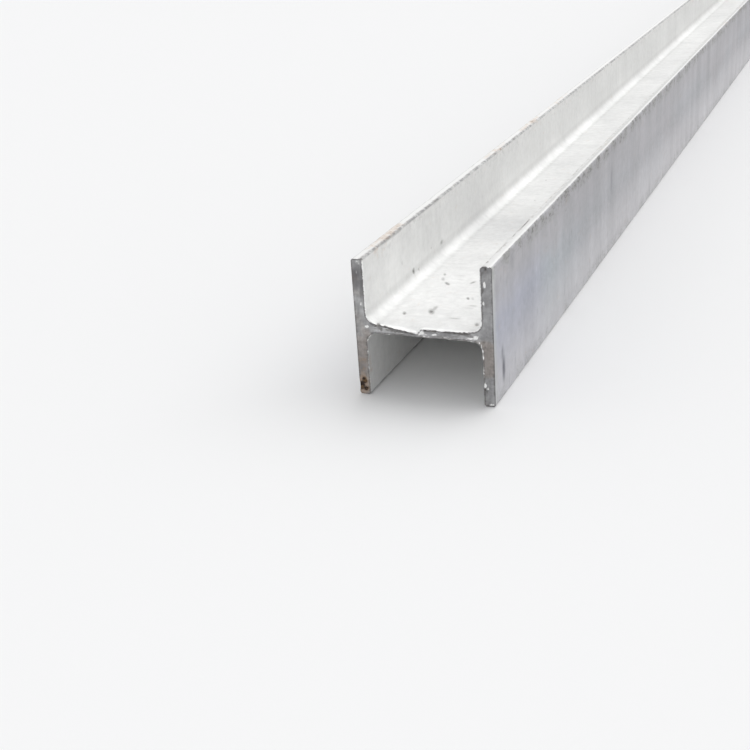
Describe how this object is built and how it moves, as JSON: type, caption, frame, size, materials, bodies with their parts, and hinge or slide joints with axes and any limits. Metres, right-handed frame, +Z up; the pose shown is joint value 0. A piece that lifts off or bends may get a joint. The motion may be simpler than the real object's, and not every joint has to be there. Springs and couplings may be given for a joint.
{
  "type": "steel i-beam",
  "caption": "Length of hot-rolled wide-flange steel beam, lying with its web level and its two broad flanges upright, saw-cut square at both ends.",
  "frame": {"origin": "bottom centre of the beam's box, midway along its length and between the two flanges' lower toes", "axes": "+Z up, +Y along the beam, +X across the web from flange to flange"},
  "size_m": [0.1, 6, 0.1],
  "materials": {
    "rolled_steel": "hot-rolled mill finish, pale grey, saw-cut ends"
  },
  "bodies": {
    "root": {"rolled_beam": "rolled_steel"}
  },
  "joints": []
}
